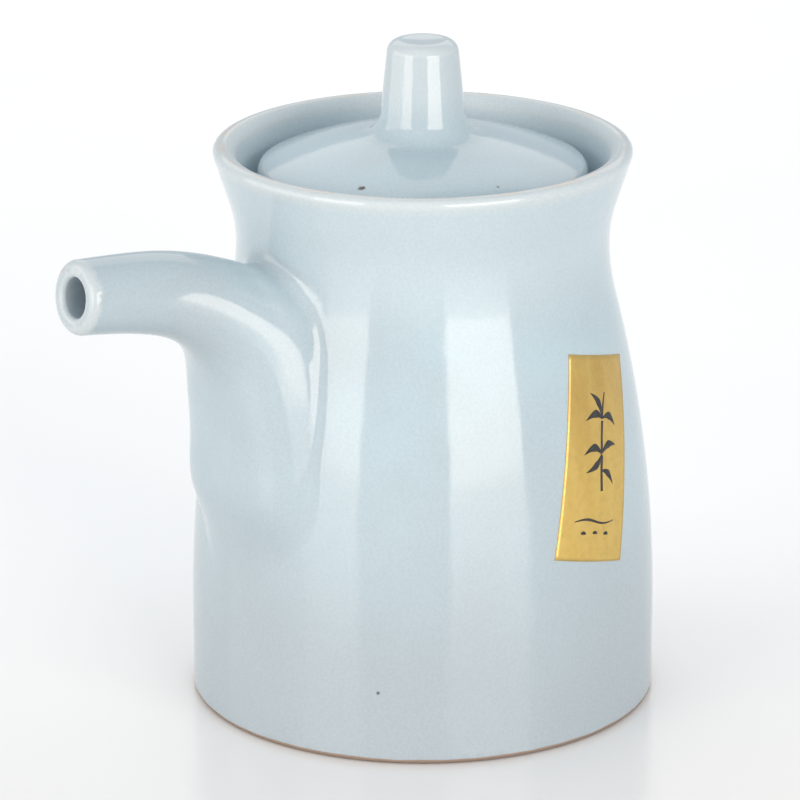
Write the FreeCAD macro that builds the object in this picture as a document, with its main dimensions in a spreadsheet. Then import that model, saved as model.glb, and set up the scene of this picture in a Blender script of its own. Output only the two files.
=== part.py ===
"""Lidded pouring pot for sake: a flared porcelain vessel with a horn spout, a domed drop-in lid with a knob,
and a foil label. Millimetres, +Z up, origin at the centre of the foot on the table, spout towards -X."""

import FreeCAD, Part

import math
import os

import Sketcher
from FreeCAD import Placement, Rotation, Vector

doc = FreeCAD.newDocument("sake_pot")

# ------------------------------------------------------------------ driving dimensions
SIZES = {
    # vessel, outside
    "foot_radius": 34.4,  # sharp outer edge of the standing ring
    "bevel_height": 0.9,  # bare bevel between the ring and the wall
    "base_radius": 35.0,
    "straight_top": 13.0,  # the wall is upright below this height
    "belly_arc": 196.0,
    "neck_radius": 27.8,
    "neck_height": 70.2,
    "flare_arc": 20.0,
    "rim_radius": 31.46,  # corner of the rim before it is rounded
    "rim_height": 84.7,
    "lip_round": 1.55,
    "ring_inner_radius": 30.2,
    "foot_recess": 1.6,
    # vessel, inside
    "wall": 3.2,
    "floor_top": 4.8,
    "floor_round": 6.0,
    "cavity_top": 56.0,  # the cavity starts to close in above this height
    "throat_radius": 22.4,
    "throat_bottom": 70.0,
    "seat_height": 77.3,  # ledge that carries the lid
    "gallery_radius": 25.9,
    "rim_inner_radius": 28.15,
    "pour_hole_radius": 4.0,
    "pour_hole_height": 48.0,
    # lid
    "lid_radius": 24.5,
    "lid_edge_bottom": 78.2,
    "lid_edge_top": 81.0,
    "lid_rest_radius": 23.7,
    "dome_start_radius": 22.6,
    "dome_start_height": 82.4,
    "dome_arc": 62.0,
    "lid_thickness": 3.4,
    "collar_radius": 21.7,
    "collar_inner_radius": 18.6,
    "collar_bottom": 72.5,
    "knob_foot_radius": 9.3,
    "knob_foot_height": 85.95,
    "knob_root_arc": 4.0,
    "knob_root_radius": 6.4,
    "knob_top_radius": 5.25,
    "knob_height": 100.5,
    "knob_round": 2.2,
    # spout mouth
    "bore_radius": 2.9,
    "bore_length": 7.25,
    "mouth_round": 1.1,
    # label
    "label_width": 14.5,
    "label_height": 30.2,
    "label_centre_height": 42.2,
    "label_turn": -74.1,  # direction of the label from +X, degrees
    "label_skew": 14.4,  # the label leans to the right, seen from outside
    "label_thickness": 0.12,
}

# Spout ribs from the mouth to the toe, which ends inside the wall: distance of the centre from the axis, its
# height, direction of the inner side above the horizontal in degrees, half depth, half width.
RIBS = [
    (61.2, 71.5, 97.0, 5.4, 5.4),
    (54.0, 70.6, 97.0, 5.7, 5.7),
    (47.1, 69.8, 100.5, 6.1, 6.3),
    (41.1, 68.0, 112.0, 6.7, 7.8),
    (35.1, 65.1, 131.0, 8.5, 10.0),
    (30.3, 60.0, 147.0, 10.4, 11.9),
    (27.6, 52.4, 162.0, 11.1, 13.4),
    (27.2, 43.8, 173.0, 10.6, 14.0),
    (28.5, 35.5, 180.0, 8.6, 12.6),
    (29.7, 28.6, 186.0, 5.2, 8.4),
    (31.6, 22.5, 190.0, 2.3, 4.4),
]
# Hollow inside ribs 1 to 8, as half depth and half width.
HOLLOWS = [(2.9, 2.9), (3.1, 3.2), (3.6, 4.6), (5.6, 7.2), (7.4, 9.4), (8.2, 10.8), (7.8, 11.4), (6.0, 10.0)]
RIB_WORDS = ("reach", "height", "lean", "depth", "width")

for number, rib in enumerate(RIBS):
    for word, value in zip(RIB_WORDS, rib):
        SIZES[f"rib{number}_{word}"] = value
for number, hollow in enumerate(HOLLOWS, start=1):
    for word, value in zip(RIB_WORDS[3:], hollow):
        SIZES[f"hollow{number}_{word}"] = value

sheet = doc.addObject("Spreadsheet::Sheet", "Sizes")
for row, (alias, value) in enumerate(SIZES.items(), start=1):
    sheet.set(f"A{row}", alias)
    sheet.set(f"B{row}", str(value))
    sheet.setAlias(f"B{row}", alias)
doc.recompute()


def size(alias):
    """The number in the sheet's cell of that name."""
    return float(sheet.get(alias))


# ------------------------------------------------------------------ sketches and bodies
class Profile:
    """A closed outline in a body's XZ plane, drawn point by point, whose sizes are read from the sheet."""

    def __init__(self, body, name):
        self.sketch = body.newObject("Sketcher::SketchObject", name)
        plane = next(f for f in body.Origin.OriginFeatures if f.Role == "XZ_Plane")
        self.sketch.AttachmentSupport = (plane, [""])
        self.sketch.MapMode = "FlatFace"
        self.edges = []

    def line(self, start, end):
        edge = self.sketch.addGeometry(Part.LineSegment(Vector(*start, 0), Vector(*end, 0)), False)
        self.edges.append(edge)
        return edge

    def arc(self, centre, radius, start_angle, end_angle):
        """An arc run anticlockwise. start_angle and end_angle are in radians."""
        circle = Part.Circle(Vector(*centre, 0), Vector(0, 0, 1), radius)
        edge = self.sketch.addGeometry(Part.ArcOfCircle(circle, start_angle, end_angle), False)
        self.edges.append(edge)
        return edge

    def limit(self, kind, *where, cell=None):
        """Adds a constraint. With cell, its value follows that expression of the sheet."""
        index = self.sketch.addConstraint(Sketcher.Constraint(kind, *where))
        if cell:
            self.sketch.setExpression(f"Constraints[{index}]", cell)
        return index

    def place(self, edge, end, across=None, up=None):
        """Fixes a point's distance from the axis and its height by cells of the sheet."""
        point = self.sketch.getPoint(edge, end)
        if across:
            self.limit("DistanceX", -1, 1, edge, end, point.x, cell=across)
        if up:
            self.limit("DistanceY", -1, 1, edge, end, point.y, cell=up)

    def join(self, first, first_end, second, second_end):
        self.limit("Coincident", first, first_end, second, second_end)

    def smooth(self, first, first_end, second, second_end):
        self.limit("Tangent", first, first_end, second, second_end)

    def radius(self, edge, cell):
        self.limit("Radius", edge, self.sketch.Geometry[edge].Radius, cell=cell)


START, END, CENTRE = 1, 2, 3


def new_body(name):
    body = doc.addObject("PartDesign::Body", name)
    body.Label = name
    return body


def turn(body, profile, kind, name):
    """Revolves a profile about the vertical axis, as a Revolution or a Groove."""
    feature = body.newObject(f"PartDesign::{kind}", name)
    feature.Profile = profile.sketch
    feature.ReferenceAxis = (profile.sketch, ["V_Axis"])
    feature.Angle = 360.0
    profile.sketch.Visibility = False
    doc.recompute()
    return feature


def belly_centre():
    return (size("base_radius") - size("belly_arc"), size("straight_top"))


def draw_outside(body, name):
    """The vessel's outside: foot, bevel, upright wall, long belly arc, neck and flared rim."""
    p = Profile(body, name)
    foot, bevel = size("foot_radius"), size("bevel_height")
    base, straight = size("base_radius"), size("straight_top")
    neck, neck_z = size("neck_radius"), size("neck_height")
    rim, rim_z = size("rim_radius"), size("rim_height")
    belly_x, belly_z = belly_centre()
    belly, flare = size("belly_arc"), size("flare_arc")
    # The waist arc touches the belly arc and is upright at the neck.
    run, rise = neck - belly_x, neck_z - belly_z
    waist = (run**2 + rise**2 - belly**2) / (2 * (belly - run))
    lean = math.atan2(rise, run + waist)
    touch = (belly_x + belly * math.cos(lean), belly_z + belly * math.sin(lean))
    # The flare's straight line leaves the flare arc where it can run straight to the rim's corner.
    across, up = neck + flare - rim, rim_z - neck_z
    slope = math.atan2(up, across) - math.acos(flare / math.hypot(across, up))
    leave = (neck + flare * (1 - math.cos(slope)), neck_z + flare * math.sin(slope))
    ground = p.line((0, 0), (foot, 0))
    edge = p.line((foot, 0), (base, bevel))
    wall = p.line((base, bevel), (base, straight))
    long_arc = p.arc((belly_x, belly_z), belly, 0, lean)
    waist_arc = p.arc((neck + waist, neck_z), waist, math.pi, math.pi + lean)
    flare_arc = p.arc((neck + flare, neck_z), flare, math.pi - slope, math.pi)
    flare_line = p.line(leave, (rim, rim_z))
    top = p.line((rim, rim_z), (0, rim_z))
    axis = p.line((0, rim_z), (0, 0))
    p.join(ground, START, -1, 1)
    p.join(ground, END, edge, START)
    p.join(edge, END, wall, START)
    p.smooth(wall, END, long_arc, START)
    p.smooth(long_arc, END, waist_arc, END)
    p.smooth(waist_arc, START, flare_arc, END)
    p.smooth(flare_arc, START, flare_line, START)
    p.join(flare_line, END, top, START)
    p.join(top, END, axis, START)
    p.join(axis, END, ground, START)
    p.limit("Horizontal", ground)
    p.limit("Vertical", wall)
    p.limit("Horizontal", top)
    p.limit("Vertical", axis)
    p.limit("Horizontal", waist_arc, CENTRE, waist_arc, START)
    p.place(ground, END, across="Sizes.foot_radius")
    p.place(wall, START, "Sizes.base_radius", "Sizes.bevel_height")
    p.place(wall, END, up="Sizes.straight_top")
    p.radius(long_arc, "Sizes.belly_arc")
    p.place(waist_arc, START, "Sizes.neck_radius", "Sizes.neck_height")
    p.radius(flare_arc, "Sizes.flare_arc")
    p.place(flare_line, END, "Sizes.rim_radius", "Sizes.rim_height")
    return p


def draw_cavity(body):
    """The vessel's inside: floor, belly, closing shoulder, throat, the lid's ledge and the flared mouth."""
    p = Profile(body, "cavity_profile")
    floor, fillet = size("floor_top"), size("floor_round")
    inner = size("base_radius") - size("wall")
    straight, cavity_top = size("straight_top"), size("cavity_top")
    throat, throat_z, seat = size("throat_radius"), size("throat_bottom"), size("seat_height")
    gallery, mouth, rim_z = size("gallery_radius"), size("rim_inner_radius"), size("rim_height")
    belly_x, belly_z = belly_centre()
    arc_radius = size("belly_arc") - size("wall")
    lean = math.asin((cavity_top - belly_z) / arc_radius)
    shoulder = (belly_x + arc_radius * math.cos(lean), cavity_top)
    floor_line = p.line((0, floor), (inner - fillet, floor))
    corner = p.arc((inner - fillet, floor + fillet), fillet, -math.pi / 2, 0)
    wall = p.line((inner, floor + fillet), (inner, straight))
    belly = p.arc((belly_x, belly_z), arc_radius, 0, lean)
    closing = p.line(shoulder, (throat, throat_z))
    throat_line = p.line((throat, throat_z), (throat, seat))
    ledge = p.line((throat, seat), (gallery, seat))
    mouth_line = p.line((gallery, seat), (mouth, rim_z))
    top = p.line((mouth, rim_z), (0, rim_z))
    axis = p.line((0, rim_z), (0, floor))
    p.join(axis, END, floor_line, START)
    p.smooth(floor_line, END, corner, START)
    p.smooth(corner, END, wall, START)
    p.smooth(wall, END, belly, START)
    p.join(belly, END, closing, START)
    p.join(closing, END, throat_line, START)
    p.join(throat_line, END, ledge, START)
    p.join(ledge, END, mouth_line, START)
    p.join(mouth_line, END, top, START)
    p.join(top, END, axis, START)
    for edge in (floor_line, ledge, top):
        p.limit("Horizontal", edge)
    for edge in (wall, throat_line, axis):
        p.limit("Vertical", edge)
    p.limit("PointOnObject", axis, END, -2)
    p.place(floor_line, START, up="Sizes.floor_top")
    p.radius(corner, "Sizes.floor_round")
    p.place(wall, END, "Sizes.base_radius - Sizes.wall", "Sizes.straight_top")
    p.radius(belly, "Sizes.belly_arc - Sizes.wall")
    p.place(belly, END, up="Sizes.cavity_top")
    p.place(throat_line, START, "Sizes.throat_radius", "Sizes.throat_bottom")
    p.place(ledge, END, "Sizes.gallery_radius", "Sizes.seat_height")
    p.place(mouth_line, END, "Sizes.rim_inner_radius", "Sizes.rim_height")
    return p


def pocket_circle(body, name, role, radius, depth, up=None, reverse=False):
    """A round pocket cut from one of the body's origin planes, at the height up where it is given."""
    sketch = body.newObject("Sketcher::SketchObject", name + "_profile")
    plane = next(f for f in body.Origin.OriginFeatures if f.Role == role)
    sketch.AttachmentSupport = (plane, [""])
    sketch.MapMode = "FlatFace"
    middle = Vector(0, size(up) if up else 0, 0)
    circle = sketch.addGeometry(Part.Circle(middle, Vector(0, 0, 1), size(radius)), False)
    index = sketch.addConstraint(Sketcher.Constraint("Radius", circle, size(radius)))
    sketch.setExpression(f"Constraints[{index}]", "Sizes." + radius)
    if up:
        sketch.addConstraint(Sketcher.Constraint("PointOnObject", circle, CENTRE, -2))
        index = sketch.addConstraint(Sketcher.Constraint("DistanceY", -1, 1, circle, CENTRE, middle.y))
        sketch.setExpression(f"Constraints[{index}]", "Sizes." + up)
    else:
        sketch.addConstraint(Sketcher.Constraint("Coincident", circle, CENTRE, -1, 1))
    before = body.Shape.Volume
    pocket = body.newObject("PartDesign::Pocket", name)
    pocket.Profile = sketch
    pocket.setExpression("Length", depth)
    pocket.Reversed = reverse
    doc.recompute()
    if not body.Shape.Volume < before:
        raise RuntimeError(f"{name} cut nothing")
    sketch.Visibility = False
    return pocket


def edges_at(shape, radius, height):
    """Names of the round edges of that radius and height about the vertical axis."""
    found = []
    for number, edge in enumerate(shape.Edges, start=1):
        curve = edge.Curve
        if isinstance(curve, Part.Circle) and abs(curve.Radius - radius) < 1e-4:
            if abs(curve.Center.z - height) < 1e-4 and math.hypot(curve.Center.x, curve.Center.y) < 1e-6:
                found.append(f"Edge{number}")
    return found


def round_edges(body, name, places, cell):
    """Rounds the circular edges at the given (radius, height) places."""
    base = body.Tip
    names = [edge for place in places for edge in edges_at(base.Shape, *place)]
    if len(names) < len(places):
        raise RuntimeError(f"{name}: an edge is missing")
    fillet = body.newObject("PartDesign::Fillet", name)
    fillet.Base = (base, names)
    fillet.setExpression("Radius", cell)
    doc.recompute()
    return fillet


def make_outer_form():
    """The vessel's outside as a full solid. It trims the spout and the label and isn't a piece itself."""
    body = new_body("outer_form")
    turn(body, draw_outside(body, "outer_form_profile"), "Revolution", "outer_form_turned")
    return body


def make_pot_body():
    body = new_body("pot_body")
    turn(body, draw_outside(body, "outside_profile"), "Revolution", "outside_turned")
    turn(body, draw_cavity(body), "Groove", "cavity_turned")
    pocket_circle(body, "foot_recess_cut", "XY_Plane", "ring_inner_radius", "Sizes.foot_recess", reverse=True)
    rim_z = size("rim_height")
    lip = [(size("rim_radius"), rim_z), (size("rim_inner_radius"), rim_z)]
    round_edges(body, "lip", lip, "Sizes.lip_round")
    reach = "Sizes.base_radius + Sizes.wall"
    pocket_circle(body, "pour_hole", "YZ_Plane", "pour_hole_radius", reach, up="pour_hole_height")
    return body


# ------------------------------------------------------------------ spout
def rib_placement(number, slide=0.0):
    """Rib's frame: local X across the spout, local Y towards the rib's inner side, local Z along the spout."""
    lean = math.radians(size(f"rib{number}_lean"))
    inner = Vector(-math.cos(lean), 0, math.sin(lean))
    across = Vector(0, 1, 0)
    along = across.cross(inner)
    centre = Vector(-size(f"rib{number}_reach"), 0, size(f"rib{number}_height"))
    return Placement(centre + along * slide, Rotation(across, inner, along, "XYZ"))


def add_rib(number, prefix):
    """An ellipse at a rib, whose radii and place follow the sheet."""
    rib = doc.addObject("Part::Ellipse", f"{prefix}_rib{number}")
    rib.MajorRadius, rib.MinorRadius = 100, 1
    cell = f"Sizes.{'rib' if prefix == 'horn' else 'hollow'}{number}"
    rib.setExpression("MinorRadius", f"{cell}_depth")
    rib.setExpression("MajorRadius", f"{cell}_width")
    rib.Placement = rib_placement(number)
    rib.setExpression("Placement.Base.x", f"-Sizes.rib{number}_reach")
    rib.setExpression("Placement.Base.z", f"Sizes.rib{number}_height")
    rib.Visibility = False
    return rib


def loft(name, sections):
    shape = doc.addObject("Part::Loft", name)
    shape.Sections = sections
    shape.Solid = True
    shape.Ruled = False
    shape.MaxDegree = 2
    doc.recompute()
    return shape


def boolean(kind, name, base, tool):
    result = doc.addObject(f"Part::{kind}", name)
    result.Base, result.Tool = base, tool
    result.Label = name
    doc.recompute()
    return result


def make_bore():
    """The straight round bore behind the mouth."""
    bore = doc.addObject("Part::Cylinder", "mouth_bore")
    bore.setExpression("Radius", "Sizes.bore_radius")
    bore.setExpression("Height", "Sizes.bore_length + 1")
    outward = rib_placement(0).Rotation
    out = outward.multVec(Vector(0, 0, 1))
    if out.x > 0:
        outward = outward.multiply(Rotation(Vector(1, 0, 0), 180))
        out = -out
    start = rib_placement(0).Base - out * size("bore_length")
    bore.Placement = Placement(start, outward)
    doc.recompute()
    return bore


def make_spout(outer_form):
    """A hollow horn, open at its root, that is luted to the vessel's wall over the pour hole."""
    horn = loft("horn", [add_rib(n, "horn") for n in range(len(RIBS))])
    hollow = loft("hollow", [add_rib(n, "hollow") for n in range(1, len(HOLLOWS) + 1)])
    closed = [(i, edge) for i, edge in enumerate(horn.Shape.Edges, start=1) if edge.isClosed()]
    mouth = min(closed, key=lambda pair: pair[1].CenterOfMass.x)[0]
    rounded = doc.addObject("Part::Fillet", "horn_rounded")
    rounded.Base = horn
    rounded.Edges = [(mouth, size("mouth_round"), size("mouth_round"))]
    doc.recompute()
    trimmed = boolean("Cut", "horn_trimmed", rounded, outer_form)
    hollowed = boolean("Cut", "horn_hollowed", trimmed, hollow)
    return boolean("Cut", "spout", hollowed, make_bore())


# ------------------------------------------------------------------ lid
def dome_height(radius, thinner=0.0):
    """Height of the dome's surface at a distance from the axis, or of the underside with thinner above 0."""
    arc = size("dome_arc")
    middle = size("dome_start_height") - math.sqrt(arc**2 - size("dome_start_radius") ** 2)
    return middle + math.sqrt((arc - thinner) ** 2 - radius**2)


def make_lid():
    """A domed disc with a rounded edge, flat under the knob, and a collar that drops into the throat."""
    body = new_body("lid")
    p = Profile(body, "lid_profile")
    arc, thick = size("dome_arc"), size("lid_thickness")
    middle = dome_height(0) - arc
    collar, inner = size("collar_radius"), size("collar_inner_radius")
    seat, bottom = size("seat_height"), size("collar_bottom")
    rest, edge_r = size("lid_rest_radius"), size("lid_radius")
    low, high = size("lid_edge_bottom"), size("lid_edge_top")
    pad, pad_z = math.sqrt(arc**2 - (size("knob_foot_height") - middle) ** 2), size("knob_foot_height")
    rim_angle = math.atan2(size("dome_start_height") - middle, size("dome_start_radius"))
    pad_angle = math.atan2(pad_z - middle, pad)
    under_angle = math.acos(inner / (arc - thick))
    under = p.arc((0, middle), arc - thick, under_angle, math.pi / 2)
    inside = p.line((inner, dome_height(inner, thick)), (inner, bottom))
    foot = p.line((inner, bottom), (collar, bottom))
    outside = p.line((collar, bottom), (collar, seat))
    rest_line = p.line((collar, seat), (rest, seat))
    lower = p.line((rest, seat), (edge_r, low))
    side = p.line((edge_r, low), (edge_r, high))
    upper = p.line((edge_r, high), (size("dome_start_radius"), size("dome_start_height")))
    dome = p.arc((0, middle), arc, rim_angle, pad_angle)
    top = p.line((pad, pad_z), (0, pad_z))
    axis = p.line((0, pad_z), (0, dome_height(0, thick)))
    chain = [(under, START, inside, START), (inside, END, foot, START), (foot, END, outside, START)]
    chain += [(outside, END, rest_line, START), (rest_line, END, lower, START), (lower, END, side, START)]
    chain += [(side, END, upper, START), (upper, END, dome, START), (dome, END, top, START)]
    chain += [(top, END, axis, START), (axis, END, under, END)]
    for link in chain:
        p.join(*link)
    for edge in (foot, rest_line, top):
        p.limit("Horizontal", edge)
    for edge in (inside, outside, side, axis):
        p.limit("Vertical", edge)
    p.limit("PointOnObject", axis, START, -2)
    p.limit("PointOnObject", dome, CENTRE, -2)
    p.join(under, CENTRE, dome, CENTRE)
    p.radius(dome, "Sizes.dome_arc")
    p.radius(under, "Sizes.dome_arc - Sizes.lid_thickness")
    p.place(dome, START, "Sizes.dome_start_radius", "Sizes.dome_start_height")
    p.place(top, END, up="Sizes.knob_foot_height")
    p.place(foot, START, "Sizes.collar_inner_radius", "Sizes.collar_bottom")
    p.place(rest_line, START, "Sizes.collar_radius", "Sizes.seat_height")
    p.place(rest_line, END, across="Sizes.lid_rest_radius")
    p.place(side, START, "Sizes.lid_radius", "Sizes.lid_edge_bottom")
    p.place(side, END, up="Sizes.lid_edge_top")
    turn(body, p, "Revolution", "lid_turned")
    return body


def make_lid_knob():
    """A tapered round knob with a hollow-curved root, luted to the lid's flat."""
    body = new_body("lid_knob")
    p = Profile(body, "knob_profile")
    foot, foot_z = size("knob_foot_radius"), size("knob_foot_height")
    root, root_arc = size("knob_root_radius"), size("knob_root_arc")
    top_r, top_z = size("knob_top_radius"), size("knob_height")
    rise = math.sqrt(root_arc**2 - (root + root_arc - foot) ** 2)
    root_z = foot_z + rise
    ground = p.line((0, foot_z), (foot, foot_z))
    hollow = p.arc((root + root_arc, root_z), root_arc, math.pi, math.pi + math.asin(rise / root_arc))
    side = p.line((root, root_z), (top_r, top_z))
    top = p.line((top_r, top_z), (0, top_z))
    axis = p.line((0, top_z), (0, foot_z))
    chain = [(ground, END, hollow, END), (hollow, START, side, START), (side, END, top, START)]
    chain += [(top, END, axis, START), (axis, END, ground, START)]
    for link in chain:
        p.join(*link)
    p.limit("Horizontal", ground)
    p.limit("Horizontal", top)
    p.limit("Vertical", axis)
    p.limit("PointOnObject", axis, START, -2)
    p.limit("Horizontal", hollow, START, hollow, CENTRE)
    p.radius(hollow, "Sizes.knob_root_arc")
    p.place(hollow, START, across="Sizes.knob_root_radius")
    p.place(ground, END, "Sizes.knob_foot_radius", "Sizes.knob_foot_height")
    p.place(side, END, "Sizes.knob_top_radius", "Sizes.knob_height")
    turn(body, p, "Revolution", "knob_turned")
    round_edges(body, "knob_crown", [(top_r, top_z)], "Sizes.knob_round")
    return body


# ------------------------------------------------------------------ label
def make_label():
    """A foil rectangle wrapped on the belly, cut out of a thin skin over the vessel's belly arc."""
    skin = new_body("label_skin")
    p = Profile(skin, "label_skin_profile")
    belly_x, belly_z = belly_centre()
    arcs = []
    ends = []
    half = 0.75 * size("label_height")
    for extra in (0.0, size("label_thickness")):
        radius = size("belly_arc") + extra
        low = math.asin((size("label_centre_height") - half - belly_z) / radius)
        high = math.asin((size("label_centre_height") + half - belly_z) / radius)
        arcs.append(p.arc((belly_x, belly_z), radius, low, high))
        ends.append([(belly_x + radius * math.cos(a), belly_z + radius * math.sin(a)) for a in (low, high)])
    low_line = p.line(ends[0][0], ends[1][0])
    high_line = p.line(ends[0][1], ends[1][1])
    p.join(low_line, START, arcs[0], START)
    p.join(low_line, END, arcs[1], START)
    p.join(high_line, START, arcs[0], END)
    p.join(high_line, END, arcs[1], END)
    p.join(arcs[0], CENTRE, arcs[1], CENTRE)
    p.place(arcs[0], CENTRE, "Sizes.base_radius - Sizes.belly_arc", "Sizes.straight_top")
    p.radius(arcs[0], "Sizes.belly_arc")
    p.radius(arcs[1], "Sizes.belly_arc + Sizes.label_thickness")
    turn(skin, p, "Revolution", "label_skin_turned")
    cutter = doc.addObject("Part::Box", "label_outline")
    cutter.setExpression("Width", "Sizes.label_width")
    cutter.setExpression("Height", "Sizes.label_height")
    cutter.setExpression("Length", "Sizes.base_radius")
    fall = math.degrees(math.asin((size("label_centre_height") - belly_z) / size("belly_arc")))
    surface = belly_x + size("belly_arc") * math.cos(math.radians(fall))
    turned = Rotation(Vector(0, 0, 1), size("label_turn"))
    leaned = turned.multiply(Rotation(Vector(0, 1, 0), -fall))
    tipped = leaned.multiply(Rotation(Vector(1, 0, 0), -size("label_skew")))
    middle = turned.multVec(Vector(surface, 0, size("label_centre_height")))
    corner = Vector(-size("base_radius") / 2, -size("label_width") / 2, -size("label_height") / 2)
    cutter.Placement = Placement(middle + tipped.multVec(corner), tipped)
    doc.recompute()
    label = doc.addObject("Part::MultiCommon", "label")
    label.Label = "label"
    label.Shapes = [skin, cutter]
    doc.recompute()
    return label


# ------------------------------------------------------------------ build and write
outer_form = make_outer_form()
pieces = [make_pot_body(), make_spout(outer_form), make_lid(), make_lid_knob(), make_label()]
doc.recompute()
for item in doc.Objects:
    if {"Invalid", "Error"} & set(item.State):
        raise RuntimeError(f"{item.Label} failed: {item.State}")
os.makedirs("parts", exist_ok=True)
for piece in pieces:
    shape = piece.Shape
    if shape.isNull() or not shape.isValid() or not shape.Solids:
        raise RuntimeError(f"{piece.Label} has no valid solid")
    box = shape.BoundBox
    extent = f"{box.XLength:.1f} x {box.YLength:.1f} x {box.ZLength:.1f}"
    print(f"{piece.Label}: {len(shape.Solids)} solid, {shape.Volume:.0f} mm3, {extent} mm")
    shape.exportStep(f"parts/{piece.Label}.step")
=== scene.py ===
"""Looks of the sake pot: one glazed skin over vessel and spout, a turned lid with its knob,
a foil label with a printed sprig, and a small studio.

The shape code works in millimetres; meshes are written in metres."""

import math

import bmesh
import bpy
import numpy as np
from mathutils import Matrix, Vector


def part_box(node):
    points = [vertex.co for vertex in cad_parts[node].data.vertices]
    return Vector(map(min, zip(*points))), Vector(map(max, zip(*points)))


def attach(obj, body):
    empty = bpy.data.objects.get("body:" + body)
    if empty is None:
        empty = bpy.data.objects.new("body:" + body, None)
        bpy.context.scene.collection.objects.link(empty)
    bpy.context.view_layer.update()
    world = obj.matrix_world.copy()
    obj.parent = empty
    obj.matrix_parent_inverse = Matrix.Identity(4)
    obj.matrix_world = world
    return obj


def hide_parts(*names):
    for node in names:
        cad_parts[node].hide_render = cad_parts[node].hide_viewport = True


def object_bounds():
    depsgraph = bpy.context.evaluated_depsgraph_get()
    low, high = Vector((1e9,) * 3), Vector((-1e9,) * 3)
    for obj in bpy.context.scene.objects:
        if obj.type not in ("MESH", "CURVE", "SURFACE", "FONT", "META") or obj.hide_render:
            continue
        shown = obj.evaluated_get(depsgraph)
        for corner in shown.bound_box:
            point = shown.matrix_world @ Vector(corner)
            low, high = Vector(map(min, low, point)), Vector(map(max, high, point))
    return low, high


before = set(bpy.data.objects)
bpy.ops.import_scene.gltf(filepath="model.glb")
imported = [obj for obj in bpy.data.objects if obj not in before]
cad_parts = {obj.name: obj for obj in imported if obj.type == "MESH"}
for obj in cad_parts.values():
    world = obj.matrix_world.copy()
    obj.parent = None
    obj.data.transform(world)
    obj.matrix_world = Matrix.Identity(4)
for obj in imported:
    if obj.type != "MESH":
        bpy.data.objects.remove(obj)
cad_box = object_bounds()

MM = 0.001


# ------------------------------------------------------------------ sizes, in millimetres
def node_box(node):
    """Lowest and highest corner of a CAD node in millimetres."""
    low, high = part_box(node)
    return np.array(low) / MM, np.array(high) / MM


POT_LOW, POT_HIGH = node_box("pot_body")
LID_LOW, LID_HIGH = node_box("lid")
KNOB_LOW, KNOB_HIGH = node_box("lid_knob")

BASE_RADIUS = POT_HIGH[0]
RIM_HEIGHT = POT_HIGH[2]
STRAIGHT_TOP = 13.0
BELLY_ARC = 196.0
NECK_RADIUS = 27.8
NECK_HEIGHT = 70.2
FLARE_ARC = 20.0
RIM_RADIUS = 31.46
LIP_ROUND = 1.5
WALL = 3.2
FLOOR_TOP = 4.8
FLOOR_ROUND = 6.0
THROAT_RADIUS = 22.4
CAVITY_TOP = 56.0
THROAT_BOTTOM = 70.0
SEAT_HEIGHT = 77.3
GALLERY_RADIUS = 25.9
RIM_INNER_RADIUS = 28.15
POUR_HOLE_RADIUS = 4.0
POUR_HOLE_HEIGHT = 48.0
FOOT_RING_INNER = 30.2
FOOT_RECESS = 1.6
FOOT_ROUND = 0.7
RECESS_ROUND = 0.7
RING_EDGE_ROUND = 0.5
CLOSING_ROUND = 6.0  # where the belly's hollow starts to close in
THROAT_OVERLAP = 6.0  # how far the throat's hollow reaches down into the belly's
THROAT_ROUND = 2.0
LEDGE_ROUND = 0.8
LEDGE_EDGE_ROUND = 0.6
INNER_LIP_ROUND = 0.6

# Ribs of the spout from its mouth to its toe, which ends inside the wall: distance from the axis,
# height, direction of the inner side in degrees above the horizontal, half depth, half width,
# then the same two of the hollow.
RIBS = np.array(
    [
        (61.2, 71.8, 97.0, 5.4, 5.4, 2.9, 2.9),
        (54.0, 71.1, 97.0, 5.7, 5.7, 2.9, 2.9),
        (47.1, 70.0, 100.5, 6.1, 6.3, 3.1, 3.2),
        (41.1, 68.0, 112.0, 6.7, 7.8, 3.6, 4.6),
        (35.4, 64.8, 131.0, 8.1, 9.8, 5.3, 7.2),
        (30.3, 60.0, 147.0, 10.2, 11.7, 7.4, 9.4),
        (27.6, 52.4, 162.0, 10.8, 13.2, 8.2, 10.8),
        (27.2, 43.8, 173.0, 10.2, 13.8, 7.8, 11.4),
        (28.6, 35.5, 180.0, 8.4, 12.7, 6.0, 10.0),
        (30.0, 28.2, 186.0, 4.1, 7.7, 2.2, 5.2),
        (31.6, 22.5, 190.0, 1.4, 3.0, 0.5, 1.6),
        (31.4, 17.0, 192.0, 0.6, 1.2, 0.3, 0.6),
    ]
)
SQUARER = 0.6  # how much squarer than an ellipse the swell's ribs are
MOUTH_ROUND = 1.1
BORE_ROUND = 0.7
DUCT_ROUND = 1.0
HOLE_ROUND = 0.8
HOLE_REACH = (24.0, 32.0)  # the pour hole's two ends, from the axis
TOE_ROUND = 3.2
CREASE_ROUND = 1.4
CREASE_HEIGHTS = (32, 46)  # the crease tightens from the toe's round to its own between these
SHOULDER_EXTRA = 1.6  # and widens by this much at the shoulder
SHOULDER_HEIGHTS = (62, 70)
SPOUT_LOW = (-90, -22, 12)  # the spout lies between these corners
SPOUT_HIGH = (-14, 22, 84)


# ------------------------------------------------------------------ distances that shapes are mixed from
def join(a, b, fillet):
    """Union of two solids given by their distances, with a rounded inner corner."""
    gap = np.hypot(np.maximum(fillet - a, 0), np.maximum(fillet - b, 0))
    return np.maximum(fillet, np.minimum(a, b)) - gap


def meet(a, b, fillet):
    """What two solids share, with a rounded outer edge."""
    return -join(-a, -b, fillet)


def ramp(low, high, x):
    """0 below low, 1 above high, smooth between."""
    t = np.clip((x - low) / (high - low), 0, 1)
    return t * t * (3 - 2 * t)


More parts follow.
